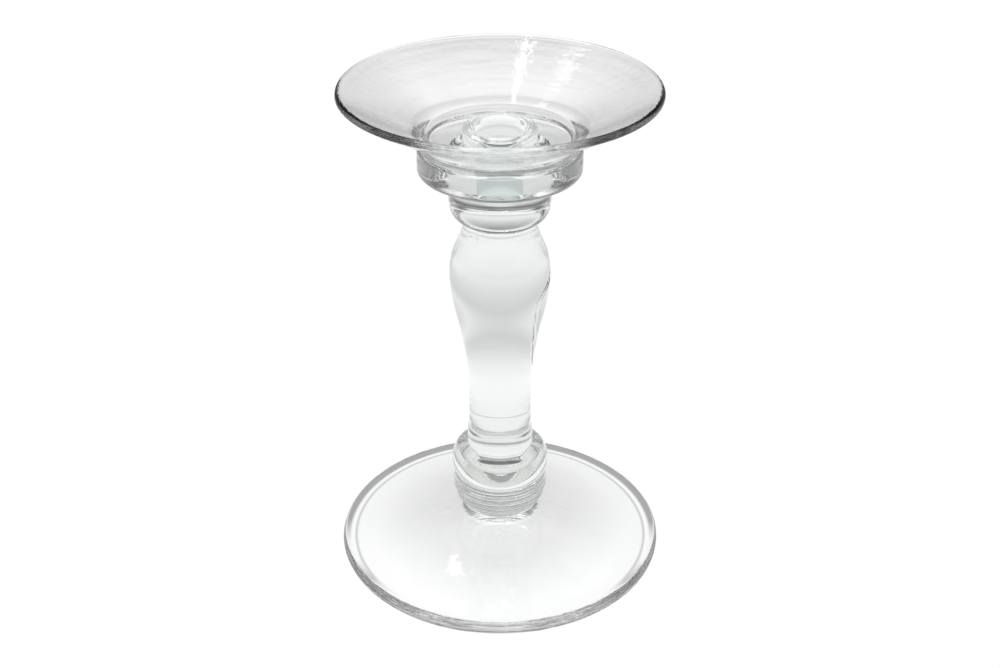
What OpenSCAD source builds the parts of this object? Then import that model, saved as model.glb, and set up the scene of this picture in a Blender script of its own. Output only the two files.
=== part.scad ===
// Clear glass candlestick: spread foot, two foot knops, baluster stem, socket knop,
// disc collar and a flared drip dish round a taper socket.
// Millimetres, +Z up, origin at the centre of the resting plane under the foot.

/* [Foot] */
// outer diameter of the foot
foot_d = 164.2; // [140:0.2:190]
// height of the foot's edge
foot_edge_h = 8.2; // [8:0.1:10]
// rise of the upper face from the edge up to the neck
foot_rise = 17.3; // [15:0.1:20]
// diameter of the foot's neck
foot_neck_d = 38.4; // [37:0.2:41]
// width of the flat ring the foot rests on
rest_ring_w = 3; // [2:0.5:6]
// height of the hollow under the foot at its centre
foot_hollow_h = 11; // [2:0.5:12]

/* [Foot knops] */
// greatest diameter of the ringed knop
ringed_knop_d = 47.4; // [45:0.2:52]
// height of the ringed knop
ringed_knop_h = 17.5; // [15:0.5:22]
// number of rings turned into the ringed knop
ring_count = 5; // [3:1:6]
// depth of the grooves between those rings
ring_groove = 0.5; // [0.1:0.05:0.8]
// greatest diameter of the annular knop
annular_knop_d = 48.8; // [46:0.2:54]
// height of the annular knop
annular_knop_h = 17.5; // [15:0.5:22]
// diameter of the waist between the two knops
waist_d = 44.6; // [42:0.2:45]

/* [Stem] */
// diameter of the lower merese, the plain disc under the stem
merese_d = 33.2; // [31:0.2:37]
// height of the lower merese
merese_h = 10.6; // [8:0.2:15]
// length of the baluster stem
stem_len = 110.4; // [90:0.2:150]
// greatest diameter of the baluster
stem_bulge_d = 48.6; // [42:0.2:54]
// diameter at the foot of the stem
stem_base_d = 31.8; // [28:0.2:33]
// diameter at the top of the stem
stem_top_d = 35; // [32:0.2:38]
// height of the neck merese between stem and socket knop
neck_merese_h = 4; // [2.5:0.1:6]

/* [Socket] */
// diameter of the socket knop
socket_knop_d = 48.2; // [44:0.2:56]
// height of the socket knop
socket_knop_h = 23.2; // [22:0.2:32]
// diameter of the disc collar under the dish
collar_d = 77; // [70:0.2:86]
// height of the disc collar
collar_h = 13; // [10:0.2:17]
// bore of the taper socket
socket_bore_d = 22; // [20:0.1:24]
// depth of the straight part of the taper socket below the dish floor
socket_depth = 24; // [20:0.5:30]
// diameter of the socket's flared mouth
mouth_d = 27; // [25:0.2:29]
// outer diameter of the raised socket lip
lip_d = 35; // [33:0.2:38]
// height of the raised socket lip above the dish floor
lip_h = 6; // [4.5:0.2:9]

/* [Dish] */
// outer diameter of the drip dish
dish_d = 149; // [130:0.2:176]
// height of the dish from collar to rim
dish_h = 28.3; // [24:0.1:34]
// thickness of the rounded rim
rim_t = 3.6; // [2.5:0.1:5]
// thickness of the dish floor round the lip
dish_floor_t = 3.3; // [2.5:0.1:5]
// diameter of the well round the lip, at its upper edge
well_d = 69; // [62:0.5:70]
// depth of the well
well_depth = 3; // [2.5:0.1:4]
// radius of the flare between collar and dish
dish_flare_r = 12.6; // [10:0.2:14]

/* [Hidden] */
$fn = 96;
foot_r = foot_d / 2;
neck_r = foot_neck_d / 2;
bore_r = socket_bore_d / 2;
collar_r = collar_d / 2;
knop_r = socket_knop_d / 2;
bulge_r = stem_bulge_d / 2;

// how far the foot's bulged edge is drawn in, at the top and at the bottom
edge_up = 3.8;
edge_low = 3.2;

// where the foot's upper face leaves the edge
top_r = foot_r - edge_up;

// rounding of the collar's upper edge, which leaves a crease under the dish
crease = 1.5;

// how far the dish's inner face sags below a straight slope, at the curve's handles
dish_sag = 0.8;

// lean of the dish's flare from upright, where it leaves the collar and where it ends, degrees
lean_low = 15;
lean_high = 60;

// levels of the fused faces, from the foot upwards
z_ringed = foot_edge_h + foot_rise;
z_annular = z_ringed + ringed_knop_h;
z_merese = z_annular + annular_knop_h;
z_stem = z_merese + merese_h;
z_neck = z_stem + stem_len;
z_knop = z_neck + neck_merese_h;
z_collar = z_knop + socket_knop_h;
z_dish = z_collar + collar_h;
z_floor = z_dish + dish_floor_t;
z_lip = z_floor + lip_h;
z_rim = z_dish + dish_h;
z_bore = z_floor - socket_depth;

// drop of the domed bottom under the straight bore, and the flat at its centre
bore_dome = 5;
bore_flat_r = 3;

// points per curve
n_long = 14;
n_short = 8;
n_ring = 4;
n_rim = 12;

// which node to build, or all of them

glass = [0.86, 0.92, 0.90, 0.55];

function bez(a, b, c, d, n) = [for (i = [0:n]) let (t = i / n, u = 1 - t)
    u * u * u * a + 3 * u * u * t * b + 3 * u * t * t * c + t * t * t * d];

function arc(c, r, a0, a1, n) = [for (i = [0:n]) let (a = a0 + (a1 - a0) * i / n)
    [c[0] + r * cos(a), c[1] + r * sin(a)]];

// radius of the ringed knop's bulge at a share t of its height
bulge_core = 15;
function bulge(t) = bulge_core
    + (ringed_knop_d / 2 - bulge_core) * sqrt(1 - pow((t - 0.665) / 0.757, 2));

module turn(outline) {
    rotate_extrude() polygon(outline);
}

// spread foot, rising in one sweep to its neck, hollowed underneath, on a narrow flat ring
module foot() {
    hollow_r = foot_r - edge_low - rest_ring_w;
    color(glass) turn(concat(
        bez([0, foot_hollow_h], [0.34 * hollow_r, foot_hollow_h],
            [0.61 * hollow_r, 0.07 * foot_hollow_h], [hollow_r, 0], n_long),
        bez([foot_r - edge_low, 0], [foot_r - 0.25 * edge_low, 0.35], [foot_r, 2.2],
            [foot_r, foot_edge_h / 2], n_short),
        bez([foot_r, foot_edge_h / 2], [foot_r, foot_edge_h - 2.2],
            [foot_r - 0.25 * edge_up, foot_edge_h - 0.35], [top_r, foot_edge_h], n_short),
        bez([top_r, foot_edge_h], [0.695 * top_r, foot_edge_h + 0.08 * foot_rise],
            [1.56 * neck_r, foot_edge_h + 0.6 * foot_rise], [neck_r, z_ringed], n_long),
        [[0, z_ringed]]));
}

// knop turned with narrow rings
module ringed_knop() {
    steps = ring_count * n_ring;
    color(glass) turn(concat(
        [[0, z_ringed]],
        [for (i = [0:steps]) let (t = i / steps)
            [bulge(t) - ring_groove * (1 - abs(sin(180 * ring_count * t))),
                z_ringed + ringed_knop_h * t]],
        [[0, z_annular]]));
}

// plain rounded knop
module annular_knop() {
    w = waist_d / 2;
    r = annular_knop_d / 2;
    m = merese_d / 2;
    color(glass) turn(concat(
        [[0, z_annular]],
        bez([w, z_annular], [r + 0.8, z_annular + 0.18 * annular_knop_h],
            [r + 1, z_annular + 0.72 * annular_knop_h], [m + 3.9, z_merese - 1.9], n_short),
        [[m, z_merese], [0, z_merese]]));
}

// plain disc under the stem, drawn in slightly at the top
module lower_merese() {
    m = merese_d / 2;
    color(glass) turn([[0, z_merese], [m, z_merese], [m, z_merese + 1.2], [m - 0.4, z_stem - 0.6],
        [m - 0.8, z_stem], [0, z_stem]]);
}

// solid baluster: slim below, swelling near the top, drawn in to the neck
module stem() {
    b = stem_base_d / 2;
    t = stem_top_d / 2;
    z_bulge = z_stem + 0.757 * stem_len;
    color(glass) turn(concat(
        [[0, z_stem]],
        bez([b, z_stem], [b - 3.1, z_stem + 0.414 * stem_len],
            [bulge_r, z_bulge - 0.17 * stem_len], [bulge_r, z_bulge], n_long),
        bez([bulge_r, z_bulge], [bulge_r, z_bulge + 0.131 * stem_len],
            [t + 2.5, z_neck - 0.092 * stem_len], [t, z_neck], n_short),
        [[0, z_neck]]));
}

// small disc between stem and socket knop
module neck_merese() {
    t = stem_top_d / 2;
    color(glass) turn([[0, z_neck], [t, z_neck], [t + 1, z_knop - 0.6], [t + 0.8, z_knop],
        [0, z_knop]]);
}

// cup-shaped knop with the lower part of the taper socket sunk into it
module socket_knop() {
    b = stem_top_d / 2 + 2;
    color(glass) turn(concat(
        [[0, z_knop]],
        bez([b, z_knop], [b + 3, z_knop + 1.2], [knop_r, z_knop + 4.4],
            [knop_r, z_knop + 9.4], n_short),
        [[knop_r, z_collar], [bore_r, z_collar], [bore_r, z_bore]],
        bez([bore_r, z_bore], [bore_r, z_bore - 0.6 * bore_dome],
            [0.8 * bore_r, z_bore - bore_dome], [bore_flat_r, z_bore - bore_dome], n_short),
        [[0, z_bore - bore_dome]]));
}

// thick disc collar with rounded edges
module collar() {
    e = 2.5;
    color(glass) turn(concat(
        [[bore_r, z_collar]],
        arc([collar_r - e, z_collar + e], e, -90, 0, n_short),
        arc([collar_r - crease, z_dish - crease], crease, 0, 90, n_ring),
        [[bore_r, z_dish]]));
}

// flared drip dish with a rounded rim and a well round the socket lip
module drip_dish() {
    rr = rim_t / 2;
    flare_c = [collar_r - crease + dish_flare_r * cos(lean_low),
        z_dish - dish_flare_r * sin(lean_low)];
    rim_c = [dish_d / 2 - rr, z_rim - rr];
    w = well_d / 2;
    inner = rim_c + rr * [cos(120), sin(120)];
    well_top = [w + 1.2, z_floor + well_depth + 0.3];
    color(glass) turn(concat(
        [[bore_r, z_dish]],
        arc(flare_c, dish_flare_r, 180 - lean_low, 180 - lean_high, n_short),
        arc(rim_c, rr, -60, 120, n_rim),
        bez(inner, inner + (well_top - inner) / 3 - [0, dish_sag],
            inner + (well_top - inner) * 2 / 3 - [0, dish_sag], well_top, n_long),
        bez(well_top, [w + 0.4, z_floor + well_depth],
            [w, z_floor + well_depth - 0.3], [w - 0.4, z_floor + well_depth - 1], n_short),
        bez([w - 1.2, z_floor + 0.9], [w - 1.5, z_floor + 0.3], [w - 2, z_floor],
            [w - 3, z_floor], n_short),
        [[bore_r, z_floor]]));
}

// raised lip with a flared mouth, which completes the taper socket above the dish floor
module socket_lip() {
    e = 2;
    r = lip_d / 2;
    m = mouth_d / 2;
    color(glass) turn(concat(
        [[bore_r, z_floor], [r, z_floor]],
        arc([r - e, z_lip - e], e, 0, 90, n_short),
        bez([m + 1, z_lip], [m, z_lip - 0.2], [bore_r + 1, z_lip - 1.6], [bore_r, z_lip - 4],
            n_short)));
}

foot();
ringed_knop();
annular_knop();
lower_merese();
stem();
neck_merese();
socket_knop();
collar();
drip_dish();
socket_lip();
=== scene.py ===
import math

import bpy
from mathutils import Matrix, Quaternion, Vector, noise


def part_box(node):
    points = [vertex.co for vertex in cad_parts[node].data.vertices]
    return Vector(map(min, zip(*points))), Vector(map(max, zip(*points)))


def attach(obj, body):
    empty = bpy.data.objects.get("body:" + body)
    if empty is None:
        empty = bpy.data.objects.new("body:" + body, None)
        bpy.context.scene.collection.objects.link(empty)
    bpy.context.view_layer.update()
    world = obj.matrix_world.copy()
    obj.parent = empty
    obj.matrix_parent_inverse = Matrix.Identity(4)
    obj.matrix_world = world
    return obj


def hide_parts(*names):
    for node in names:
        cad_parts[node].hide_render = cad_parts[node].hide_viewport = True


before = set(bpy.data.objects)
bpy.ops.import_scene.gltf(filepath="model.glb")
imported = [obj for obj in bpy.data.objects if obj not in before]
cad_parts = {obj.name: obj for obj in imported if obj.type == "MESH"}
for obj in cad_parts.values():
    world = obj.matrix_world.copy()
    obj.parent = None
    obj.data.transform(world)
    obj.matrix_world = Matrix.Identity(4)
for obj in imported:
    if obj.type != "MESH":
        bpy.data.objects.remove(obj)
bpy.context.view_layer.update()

# Outlines are in millimetres, as (radius, height) points. lathe() turns them into metres.
# Floor, lamps and camera are in metres.
MM = 0.001
NODES = ["foot", "ringed_knop", "annular_knop", "lower_merese", "stem", "neck_merese",
         "socket_knop", "collar", "drip_dish", "socket_lip"]
SIDES = 224      # sides of a turned piece
TOUCH = 1e-3     # how near a point counts as lying on a level
SHARP = 38       # edges that turn by more than this stay sharp, degrees

# material slots of every piece
CLEAR, JOINT, BORE = 0, 1, 2


# ---------- levels and radii, from the CAD boxes ----------
Z = {n: (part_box(n)[0].z / MM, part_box(n)[1].z / MM) for n in NODES}
R = {n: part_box(n)[1].x / MM for n in NODES}
WELL_Z = Z["socket_lip"][0]       # floor of the dish's well
LIP_R = R["socket_lip"]
BORE_R = 11.0
BORE_DOME = 5.0                   # drop of the bore's domed bottom
BORE_DEPTH = 24.0                 # straight part of the bore below that floor
BORE_Z = WELL_Z - BORE_DEPTH
DOME_Z = BORE_Z - BORE_DOME       # bottom of the bore
MEET_R = 14.0                     # a circle of points that dish and lip share
STEM_TOP_R = 17.5
CREASE = 1.5                      # rounding of the collar's upper edge


# ---------- outline tools ----------
def bez(a, b, c, d, n):
    """Points along a cubic curve from a to d."""
    out = []
    for i in range(n + 1):
        t = i / n
        u = 1 - t
        w = (u * u * u, 3 * u * u * t, 3 * u * t * t, t * t * t)
        out.append(tuple(w[0] * a[k] + w[1] * b[k] + w[2] * c[k] + w[3] * d[k] for k in (0, 1)))
    return out


def arc(cx, cz, r, a0, a1, n):
    """Points along an arc, with its angles in degrees."""
    return [(cx + r * math.cos(math.radians(a0 + (a1 - a0) * i / n)),
             cz + r * math.sin(math.radians(a0 + (a1 - a0) * i / n))) for i in range(n + 1)]


def line(a, b, n):
    return [(a[0] + (b[0] - a[0]) * i / n, a[1] + (b[1] - a[1]) * i / n) for i in range(n + 1)]


def capped(side, z0, z1):
    """Closes a side outline to the axis at both levels, with a point half way in on each."""
    return [(0, z0), (side[0][0] * 0.5, z0)] + side + [(side[-1][0] * 0.5, z1), (0, z1)]


# ---------- slight unevenness of hand-worked glass ----------
# waviness of every surface: waves per millimetre, share of the radius, place in the noise
WAVES = ((0.028, 0.0022, (3.1, 7.7, 1.9)), (0.075, 0.0011, (11.0, 2.0, 5.0)))

# heights of the stem's crease and its angles round the stem from the front
CREASE_PATH = ((161.0, 88.0), (157.0, 78.0), (151.0, 56.0), (147.0, 46.0), (138.0, 47.0),
               (124.0, 55.0), (112.0, 68.0), (104.0, 80.0))


def wave(x, y, z):
    """How far a point strays from the true surface, as a share of its radius."""
    p = Vector((x, y, z))
    return sum(share * noise.noise(p * pitch + Vector(place)) for pitch, share, place in WAVES)


def tool_marks(r, a):
    """Shallow ripples that run down the foot's upper face, strongest below the knop."""
    starts, rise, ends, fall = 20, 6, 74, 30
    fade = max(0.0, min(1.0, (r - starts) / rise)) * max(0.0, min(1.0, (ends - r) / fall))
    around, along = 7, 0.035
    p = Vector((math.cos(a) * around, math.sin(a) * around, r * along))
    return 0.08 * fade * noise.noise(p) + 0.05 * fade * noise.noise(p * 2.3)


def turning_marks(r, a, z):
    """Fine uneven rings round the dish."""
    around, upwards = 2, 0.8
    p = Vector((math.cos(a) * around, math.sin(a) * around, z * upwards))
    return 0.07 * noise.noise(p) + 0.03 * noise.noise(p * 2.1)


def stem_crease(r, a, z):
    """A shallow wavy crease down the stem's right side, with a fainter one beside it."""
    top, bottom = CREASE_PATH[0][0], CREASE_PATH[-1][0]
    if z < bottom or z > top:
        return 0.0
    for (z0, t0), (z1, t1) in zip(CREASE_PATH, CREASE_PATH[1:]):
        if z1 <= z <= z0:
            t = t0 + (t1 - t0) * (z0 - z) / (z0 - z1)
            break
    t += 2.5 * noise.noise(Vector((0.0, 3.0, z * 0.17)))
    away = math.radians((math.degrees(a) + 90 - t + 180) % 360 - 180) * r
    fade = min(1.0, (z - bottom) / 4, (top - z) / 3)
    deep, deep_w = 0.4, 0.9
    faint, faint_w, beside = 0.2, 1.4, 3.2
    return fade * (deep * math.exp(-(away / deep_w) ** 2)
                   + faint * math.exp(-((away - beside) / faint_w) ** 2))


# ---------- turning an outline into a piece ----------
def on_level(p, q, level):
    return abs(p[1] - level) < TOUCH and abs(q[1] - level) < TOUCH


def slot_between(p, q, levels, fused_ring):
    """Material slot of the faces between two neighbouring outline points."""
    outer = max(p[0], q[0])
    if any(on_level(p, q, level) for level in levels):
        return JOINT
    if fused_ring and on_level(p, q, fused_ring[0]) and outer < fused_ring[1] + TOUCH:
        return JOINT
    if outer < BORE_R + TOUCH and p[1] > DOME_Z - TOUCH:
        return BORE
    return CLEAR


def lathe(name, skin, levels, ring=False, fused_ring=None, ripple=None, dent=None, sides=SIDES):
    """Turns a closed outline round Z. Stretches along one of the levels are fused joints.
    ring closes the outline on itself, for a piece with a hole down its middle.
    fused_ring is a level and a radius: only the part of that level within the radius is fused.
    ripple is a level and a function of radius and angle that lifts the points above that level.
    dent is a function of radius, angle and height that draws points in towards the axis."""
    verts, rows = [], []
    for r, z in skin:
        if r < 1e-4:
            rows.append([len(verts)])
            verts.append((0.0, 0.0, z * MM))
            continue
        row = []
        for k in range(sides):
            a = 2 * math.pi * (k + 0.5) / sides
            pull = dent(r, a, z) if dent else 0.0
            lift = ripple[1](r, a) if ripple and z > ripple[0] else 0.0
            x, y = (r - pull) * math.cos(a), (r - pull) * math.sin(a)
            s = 1 + wave(x, y, z)
            row.append(len(verts))
            verts.append((x * s * MM, y * s * MM, (z + lift) * MM))
        rows.append(row)
    faces, slots = [], []
    count = len(rows)
    for i in range(count if ring else count - 1):
        after = (i + 1) % count
        a, b = rows[i], rows[after]
        slot = slot_between(skin[i], skin[after], levels, fused_ring)
        for k in range(sides):
            m = (k + 1) % sides
            if len(a) == 1:
                face = (a[0], b[m], b[k])
            elif len(b) == 1:
                face = (a[k], a[m], b[0])
            else:
                face = (a[k], a[m], b[m], b[k])
            faces.append(face)
            slots.append(slot)
    me = bpy.data.meshes.new(name)
    me.from_pydata(verts, [], faces)
    me.validate()
    me.polygons.foreach_set("material_index", slots)
    me.polygons.foreach_set("use_smooth", [True] * len(faces))
    me.set_sharp_from_angle(angle=math.radians(SHARP))
    me.update()
    ob = bpy.data.objects.new(name, me)
    bpy.context.scene.collection.objects.link(ob)
    return ob


# ---------- the pieces, from the foot upwards ----------
def foot():
    z1 = Z["foot"][1]
    rim = R["foot"]
    edge_h = 8.2
    in_top, in_low = 3.8, 3.2     # how far the bulged edge is drawn in, at the top and the bottom
    neck = 19.2
    rest_w = 3.0                  # width of the ring it rests on
    hollow_h = 11.0
    rise = z1 - edge_h
    top_r = rim - in_top
    hollow_r = rim - in_low - rest_w
    skin = bez((0, hollow_h), (0.34 * hollow_r, hollow_h), (0.61 * hollow_r, 0.07 * hollow_h),
               (hollow_r, 0), n=48)
    skin += bez((rim - in_low, 0), (rim - 0.25 * in_low, 0.35), (rim, 2.2),
                (rim, 0.5 * edge_h), n=20)
    skin += bez((rim, 0.5 * edge_h), (rim, edge_h - 2.2), (rim - 0.25 * in_top, edge_h - 0.35),
                (top_r, edge_h), n=20)[1:]
    skin += bez((top_r, edge_h), (0.695 * top_r, edge_h + 0.08 * rise),
                (1.56 * neck, edge_h + 0.6 * rise), (neck, z1), n=64)[1:]
    skin += [(neck * 0.5, z1), (0, z1)]
    return lathe("foot_glass", skin, (z1,), ripple=(edge_h, tool_marks))


def ringed_knop():
    z0, z1 = Z["ringed_knop"]
    h = z1 - z0
    rings, groove = 5, 0.5
    core, big = 15.0, R["ringed_knop"]
    steps = rings * 12

    def bulge(t):
        return core + (big - core) * math.sqrt(1 - ((t - 0.665) / 0.757) ** 2)

    side = []
    for i in range(steps + 1):
        t = i / steps
        cut = groove * (1 - abs(math.sin(math.pi * rings * t)) ** 0.8)
        side.append((bulge(t) - cut, z0 + h * t))
    return lathe("ringed_knop_glass", capped(side, z0, z1), (z0, z1))


def annular_knop():
    z0, z1 = Z["annular_knop"]
    h = z1 - z0
    waist, belly, top = 22.3, 24.4, R["lower_merese"]
    side = bez((waist, z0), (belly + 0.8, z0 + 0.18 * h), (belly + 1, z0 + 0.72 * h),
               (top + 3.9, z1 - 1.9), n=28)
    side += bez((top + 3.9, z1 - 1.9), (top + 2.5, z1 - 0.95), (top + 1.2, z1 - 0.2),
                (top, z1), n=6)[1:]
    return lathe("annular_knop_glass", capped(side, z0, z1), (z0, z1))


def lower_merese():
    z0, z1 = Z["lower_merese"]
    m = R["lower_merese"]
    side = line((m, z0), (m - 0.1, z0 + 2.4), n=3)
    side += line((m - 0.1, z0 + 2.4), (m - 0.4, z1 - 1.2), n=6)[1:]
    side += bez((m - 0.4, z1 - 1.2), (m - 0.45, z1 - 0.6), (m - 0.6, z1 - 0.2),
                (m - 0.8, z1), n=5)[1:]
    skin = [(0, z0), (m * 0.5, z0)] + side + [(m * 0.5, z1), (0, z1)]
    return lathe("lower_merese_glass", skin, (z0, z1))


def stem():
    z0, z1 = Z["stem"]
    h = z1 - z0
    base, top, big = 15.9, STEM_TOP_R, R["stem"]
    belly_z = z0 + 0.757 * h
    side = bez((base, z0), (base - 3.1, z0 + 0.414 * h), (big, belly_z - 0.17 * h),
               (big, belly_z), n=120)
    side += bez((big, belly_z), (big, belly_z + 0.131 * h), (top + 2.5, z1 - 0.092 * h),
                (top, z1), n=28)[1:]
    return lathe("stem_glass", capped(side, z0, z1), (z0, z1), dent=stem_crease, sides=2 * SIDES)


def neck_merese():
    z0, z1 = Z["neck_merese"]
    t = STEM_TOP_R
    side = bez((t, z0), (t + 0.6, z0 + 1), (t + 1.1, z1 - 1.4), (t + 1, z1 - 0.6), n=8)
    side += [(t + 0.8, z1)]
    skin = [(0, z0), (t * 0.5, z0)] + side + [(t * 0.5, z1), (0, z1)]
    return lathe("neck_merese_glass", skin, (z0, z1))


def socket_knop():
    z0, z1 = Z["socket_knop"]
    k = R["socket_knop"]
    base = STEM_TOP_R + 2
    cup_z = z0 + 9.4              # where the cup's side turns upright
    skin = [(0, z0), (base * 0.5, z0)]
    skin += bez((base, z0), (base + 3, z0 + 1.2), (k, z0 + 4.4), (k, cup_z), n=22)
    skin += line((k, cup_z), (k, z1), n=8)[1:]
    skin += [((k + BORE_R) / 2, z1)]
    skin += line((BORE_R, z1), (BORE_R, BORE_Z), n=6)
    skin += bez((BORE_R, BORE_Z), (BORE_R, BORE_Z - 0.6 * BORE_DOME), (0.8 * BORE_R, DOME_Z),
                (3, DOME_Z), n=18)[1:]
    skin += [(0, DOME_Z)]
    return lathe("socket_knop_glass", skin, (z0, z1))


def collar():
    z0, z1 = Z["collar"]
    c = R["collar"]
    k = R["socket_knop"]
    e = 2.5                       # rounding of the lower edge
    skin = [(BORE_R, z0), (k, z0)]
    skin += line((k, z0), (c - e, z0), n=4)[1:]
    skin += arc(c - e, z0 + e, e, -90, 0, n=16)[1:]
    skin += line((c, z0 + e), (c, z1 - CREASE), n=8)[1:]
    skin += arc(c - CREASE, z1 - CREASE, CREASE, 0, 90, n=10)[1:]
    skin += [((c + BORE_R) / 2, z1)]
    skin += line((BORE_R, z1), (BORE_R, z0), n=6)[:-1]
    # the lower face is fused only inside the knop's radius
    return lathe("collar_glass", skin, (z1,), ring=True, fused_ring=(z0, k))


def drip_dish():
    z0, z1 = Z["drip_dish"]
    c = R["collar"]
    rim_r = 1.8
    flare_r, lean, lean_end = 12.6, 15, 60
    well_r, well_h = 34.5, 3.0
    sag = 0.8                     # how far the inner face sags below a straight slope
    top = WELL_Z + well_h
    flare_x = c - CREASE + flare_r * math.cos(math.radians(lean))
    flare_z = z0 - flare_r * math.sin(math.radians(lean))
    out = arc(flare_x, flare_z, flare_r, 180 - lean, 180 - lean_end, n=28)
    rim = arc(R["drip_dish"] - rim_r, z1 - rim_r, rim_r, -60, 120, n=28)
    well = bez((well_r + 1.2, top + 0.3), (well_r + 0.4, top), (well_r, top - 0.3),
               (well_r - 0.4, top - 1), n=10)
    well += bez((well_r - 1.2, WELL_Z + 0.9), (well_r - 1.5, WELL_Z + 0.3),
                (well_r - 2, WELL_Z), (well_r - 3, WELL_Z), n=10)
    (ra, za), (rb, zb) = rim[-1], well[0]
    near_rim = (ra + (rb - ra) / 3, za + (zb - za) / 3 - sag)
    near_well = (ra + (rb - ra) * 2 / 3, za + (zb - za) * 2 / 3 - sag)
    skin = [(BORE_R, z0), ((c + BORE_R) / 2, z0)] + out[:-1]
    skin += line(out[-1], rim[0], n=56)[:-1] + rim[:-1]
    skin += bez(rim[-1], near_rim, near_well, well[0], n=40)[:-1] + well
    skin += [((well_r - 3 + LIP_R) / 2, WELL_Z), (LIP_R, WELL_Z), (MEET_R, WELL_Z)]
    skin += [(BORE_R, WELL_Z), (BORE_R, (z0 + WELL_Z) / 2)]
    return lathe("drip_dish_glass", skin, (z0,), ring=True, fused_ring=(WELL_Z, LIP_R),
                 dent=turning_marks)


def socket_lip():
    z0, z1 = Z["socket_lip"]
    e, mouth = 2.0, 13.5          # rounding of the outer edge, radius of the flared mouth
    skin = [(BORE_R, z0), (MEET_R, z0), (LIP_R, z0), (LIP_R, z0 + 1.5)]
    skin += arc(LIP_R - e, z1 - e, e, 0, 90, n=16)
    skin += bez((mouth + 1, z1), (mouth, z1 - 0.2), (BORE_R + 1, z1 - 1.6), (BORE_R, z1 - 4), n=18)
    return lathe("socket_lip_glass", skin, (z0,), ring=True)


# ---------- glass ----------
def add_noise(nt, space, scale, detail):
    """A noise texture in the given space."""
    node = nt.nodes.new("ShaderNodeTexNoise")
    node.inputs["Scale"].default_value = scale
    node.inputs["Detail"].default_value = detail
    nt.links.new(space, node.inputs["Vector"])
    return node.outputs["Fac"]


def math_node(nt, operation, *values):
    """A math node fed with sockets or plain numbers."""
    node = nt.nodes.new("ShaderNodeMath")
    node.operation = operation
    for i, v in enumerate(values):
        if isinstance(v, (int, float)):
            node.inputs[i].default_value = v
        else:
            nt.links.new(v, node.inputs[i])
    return node.outputs[0]


def empty_material(name):
    m = bpy.data.materials.new(name)
    m.use_nodes = True
    m.node_tree.nodes.clear()
    return m, m.node_tree, m.node_tree.nodes.new("ShaderNodeOutputMaterial")


def clear_glass(name, pale, deep, fine_share=0.2):
    """Clear glass, with a tint that drifts between two colours and a very slight bump."""
    m, nt, out = empty_material(name)
    b = nt.nodes.new("ShaderNodeBsdfPrincipled")
    b.inputs["Roughness"].default_value = 0.0
    b.inputs["IOR"].default_value = 1.52
    b.inputs["Transmission Weight"].default_value = 1.0
    nt.links.new(b.outputs[0], out.inputs["Surface"])
    space = nt.nodes.new("ShaderNodeTexCoord").outputs["Object"]
    coarse = add_noise(nt, space, 70, 2)
    fine = add_noise(nt, space, 300, 3)
    ramp = nt.nodes.new("ShaderNodeValToRGB")
    ramp.color_ramp.elements[0].color = (*deep, 1)
    ramp.color_ramp.elements[1].color = (*pale, 1)
    nt.links.new(coarse, ramp.inputs["Fac"])
    nt.links.new(ramp.outputs["Color"], b.inputs["Base Color"])
    bump = nt.nodes.new("ShaderNodeBump")
    bump.inputs["Strength"].default_value = 0.06
    bump.inputs["Distance"].default_value = 0.001
    nt.links.new(math_node(nt, "MULTIPLY_ADD", fine, fine_share, coarse), bump.inputs["Height"])
    nt.links.new(bump.outputs["Normal"], b.inputs["Normal"])
    return m


def fused_joint():
    """Two pieces are one glass where they are fused, so light passes straight through."""
    m, nt, out = empty_material("fused_joint")
    through = nt.nodes.new("ShaderNodeBsdfTransparent")
    nt.links.new(through.outputs[0], out.inputs["Surface"])
    return m


joint = fused_joint()
# pale and deep tint, given for each group of pieces, and the share of fine bump
foot_glass = clear_glass("clear_glass_foot", (0.98, 0.99, 0.98), (0.955, 0.972, 0.96), 0.4)
knop_glass = clear_glass("clear_glass_knops", (0.92, 0.94, 0.93), (0.88, 0.905, 0.89))
stem_glass = clear_glass("clear_glass_stem", (0.845, 0.87, 0.855), (0.82, 0.845, 0.83))
dish_glass = clear_glass("clear_glass_dish", (0.985, 0.995, 0.985), (0.96, 0.97, 0.96), 0.9)
# the socket's bore faces get a darker blue-green tint: painted shade inside the bore
bore_shade_glass = clear_glass("clear_glass_bore_shade", (0.78, 0.84, 0.84), (0.68, 0.75, 0.76))
ring_glass = clear_glass("clear_glass_merese", (0.86, 0.885, 0.87), (0.80, 0.83, 0.81))

# node, what makes its piece, its glass and the glass of its bore, whose darker tint in the socket
# is painted shade
PIECES = (("foot", foot, foot_glass, dish_glass),
          ("ringed_knop", ringed_knop, knop_glass, dish_glass),
          ("annular_knop", annular_knop, ring_glass, dish_glass),
          ("lower_merese", lower_merese, ring_glass, dish_glass),
          ("stem", stem, stem_glass, dish_glass),
          ("neck_merese", neck_merese, knop_glass, dish_glass),
          ("socket_knop", socket_knop, knop_glass, bore_shade_glass),
          ("collar", collar, knop_glass, bore_shade_glass),
          ("drip_dish", drip_dish, dish_glass, dish_glass),
          ("socket_lip", socket_lip, dish_glass, dish_glass))
for node, make, glass, bore in PIECES:
    ob = make()
    for material in (glass, joint, bore):
        ob.data.materials.append(material)
    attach(ob, "root")
    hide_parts(node)


# ---------- paper and room ----------
# The camera sees both plain white. The glass shows their tones, which are listed below.
PAPER_HALF = 3.0
PAPER_DROP = 0.0004   # keeps the paper just clear of the foot
PAPER = 1.2       # strength that the paper's tones are shares of
ROOM = 1.2        # strength that the room's tones are shares of
NEAR = 0.16       # reach of the paper's fine shading round the foot
SIDE_DROP = 0.35  # how much lower a place at the side counts than one at the back

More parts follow.
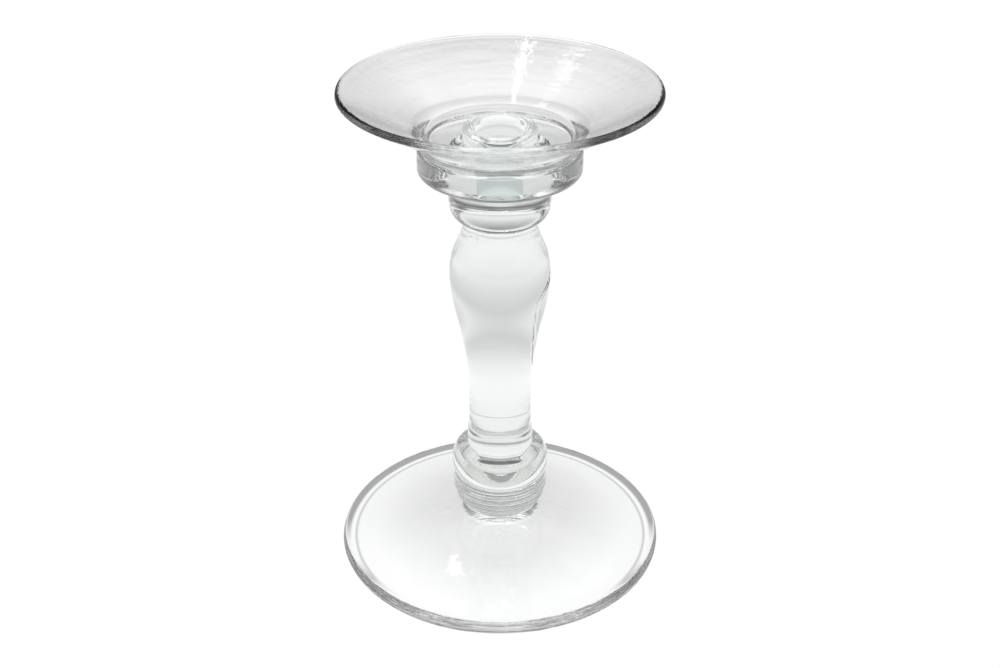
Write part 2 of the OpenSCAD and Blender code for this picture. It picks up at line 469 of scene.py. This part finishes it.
# (distance from the axis, tone): painted light and shade, bright round the foot, then darker and
# lighter bands, dark far away
PAPER_LIGHT_AND_SHADE = ((0.0, 1.03), (0.2, 1.1), (0.3, 0.98), (0.4, 0.8), (0.48, 0.74), (0.55, 0.84),
              (0.64, 0.95), (0.82, 0.84), (1.05, 0.66), (1.3, 0.55), (2.0, 0.3), (3.0, 0.2))

# (distance from the axis, share): shade below the stem, a thin shadow ring at 75 mm, a wide one
# below the foot's edge that fades outwards
PAPER_NEAR = ((0.0, 0.84), (0.03, 0.84), (0.05, 0.93), (0.065, 1.0), (0.0742, 1.0),
              (0.0748, 0.6), (0.0754, 0.6), (0.076, 1.03), (0.0778, 1.0), (0.0786, 0.42),
              (0.0835, 0.42), (0.0845, 0.45), (0.09, 0.6), (0.1, 0.95), (0.13, 1.0), (NEAR, 1.0))

# (height as the sine of its angle, tone): dark low down, white overhead
ROOM_TONES = ((-0.35, 0.2), (-0.05, 0.17), (0.02, 0.35), (0.18, 0.28), (0.28, 0.15),
              (0.45, 0.13), (0.56, 0.35), (0.7, 0.95), (0.85, 1.15), (1.0, 1.15))


def ramp_node(nt, fac, stops):
    """A colour ramp of greys through (place, tone) stops."""
    node = nt.nodes.new("ShaderNodeValToRGB")
    nt.links.new(fac, node.inputs["Fac"])
    el = node.color_ramp.elements
    el[0].position, el[1].position = stops[0][0], stops[-1][0]
    el[0].color = (*[stops[0][1]] * 3, 1)
    el[1].color = (*[stops[-1][1]] * 3, 1)
    for place, tone in stops[1:-1]:
        el.new(place).color = (*[tone] * 3, 1)
    return node.outputs["Color"]


def product(nt, a, b):
    """The product of two colours."""
    node = nt.nodes.new("ShaderNodeVectorMath")
    node.operation = "MULTIPLY"
    nt.links.new(a, node.inputs[0])
    nt.links.new(b, node.inputs[1])
    return node.outputs[0]


def seen_white(nt, tone, strength, out, socket_type):
    """To the camera it is plain white. Reflections and refractions meet the given tone."""
    path = nt.nodes.new("ShaderNodeLightPath")
    mix = nt.nodes.new("ShaderNodeMixShader")
    toned, white = nt.nodes.new(socket_type), nt.nodes.new(socket_type)
    nt.links.new(tone, toned.inputs["Color"])
    toned.inputs["Strength"].default_value = strength
    white.inputs["Color"].default_value = (1, 1, 1, 1)
    white.inputs["Strength"].default_value = 1.02
    nt.links.new(path.outputs["Is Camera Ray"], mix.inputs[0])
    nt.links.new(toned.outputs[0], mix.inputs[1])
    nt.links.new(white.outputs[0], mix.inputs[2])
    nt.links.new(mix.outputs[0], out.inputs["Surface"])


def paper():
    """Paper that gives off its own light, with painted light and shade by the distance from the
    axis.
    """
    m, nt, out = empty_material("paper")
    where = nt.nodes.new("ShaderNodeNewGeometry")
    far = nt.nodes.new("ShaderNodeVectorMath")
    far.operation = "LENGTH"
    nt.links.new(where.outputs["Position"], far.inputs[0])
    # painted light and shade on the paper: the wide tones times the near shadow rings
    wide = ramp_node(nt, math_node(nt, "DIVIDE", far.outputs["Value"], PAPER_HALF),
                     [(place / PAPER_HALF, tone / PAPER) for place, tone in PAPER_LIGHT_AND_SHADE])
    near = ramp_node(nt, math_node(nt, "DIVIDE", far.outputs["Value"], NEAR),
                     [(place / NEAR, share) for place, share in PAPER_NEAR])
    seen_white(nt, product(nt, wide, near), PAPER, out, "ShaderNodeEmission")
    return m


def lay_floor():
    h = PAPER_HALF
    me = bpy.data.meshes.new("floor")
    me.from_pydata([(-h, -h, 0), (h, -h, 0), (h, h, 0), (-h, h, 0)], [], [(0, 1, 2, 3)])
    me.materials.append(paper())
    floor = bpy.data.objects.new("floor", me)
    floor.location.z = -PAPER_DROP
    bpy.context.scene.collection.objects.link(floor)


def build_room():
    """Surroundings toned by height, whose dark part reaches higher at the sides."""
    world = bpy.data.worlds.new("studio")
    bpy.context.scene.world = world
    world.use_nodes = True
    nt = world.node_tree
    nt.nodes.clear()
    out = nt.nodes.new("ShaderNodeOutputWorld")
    towards = nt.nodes.new("ShaderNodeTexCoord").outputs["Generated"]
    axes = nt.nodes.new("ShaderNodeSeparateXYZ")
    nt.links.new(towards, axes.inputs[0])
    span = 1 + SIDE_DROP
    side = math_node(nt, "MULTIPLY", axes.outputs["X"], axes.outputs["X"])
    height = math_node(nt, "MULTIPLY_ADD", side, -SIDE_DROP, axes.outputs["Z"])
    height = math_node(nt, "MULTIPLY_ADD", height, 1 / span, SIDE_DROP / span)
    tone = ramp_node(nt, height, [((z + SIDE_DROP) / span, v / ROOM) for z, v in ROOM_TONES])
    clutter = ramp_node(nt, add_noise(nt, towards, 4, 2), [(0.4, 0.7), (0.5, 1.0)])
    seen_white(nt, product(nt, tone, clutter), ROOM, out, "ShaderNodeBackground")


# ---------- lamps and camera ----------
LAMP_AIM = (0, 0, 0.24)           # level of the dish
LAMP_FAR = 1.6
CAMERA_AT = (0, -0.666, 0.4969)
CAMERA_DIP = 29.4                 # degrees below the horizontal
LENS = 56.05
SENSOR = 36
BOUNCES = 32


def lamp(name, towards, width, length, power, lean=0):
    """A lamp in a direction from the dish. It shows in glass, but doesn't light the paper."""
    li = bpy.data.lights.new(name, "AREA")
    li.energy = power
    li.shape = "RECTANGLE"
    li.size = width
    li.size_y = length
    ob = bpy.data.objects.new(name, li)
    d = Vector(towards).normalized()
    ob.location = Vector(LAMP_AIM) + d * LAMP_FAR
    upright = (-d).to_track_quat("-Z", "Y")
    ob.rotation_euler = (upright @ Quaternion((0, 0, 1), math.radians(lean))).to_euler()
    ob.visible_diffuse = False
    bpy.context.scene.collection.objects.link(ob)


def set_camera():
    cam = bpy.data.cameras.new("camera")
    cam.sensor_width = SENSOR
    cam.lens = LENS
    cam.clip_start = 0.01
    ob = bpy.data.objects.new("camera", cam)
    ob.location = CAMERA_AT
    ob.rotation_euler = (math.radians(90 - CAMERA_DIP), 0, 0)
    bpy.context.scene.collection.objects.link(ob)
    bpy.context.scene.camera = ob


lay_floor()
build_room()
lamp("strip", (-0.105, 0.305, 0.945), 0.035, 0.5, 0.4, -28)
lamp("window", (-0.263, 0.451, 0.851), 0.22, 0.12, 0.25)
set_camera()

scene = bpy.context.scene
scene.view_settings.view_transform = "Standard"
scene.cycles.max_bounces = BOUNCES
scene.cycles.transmission_bounces = BOUNCES
scene.cycles.transparent_max_bounces = BOUNCES
scene.cycles.glossy_bounces = 16
scene.cycles.diffuse_bounces = 3
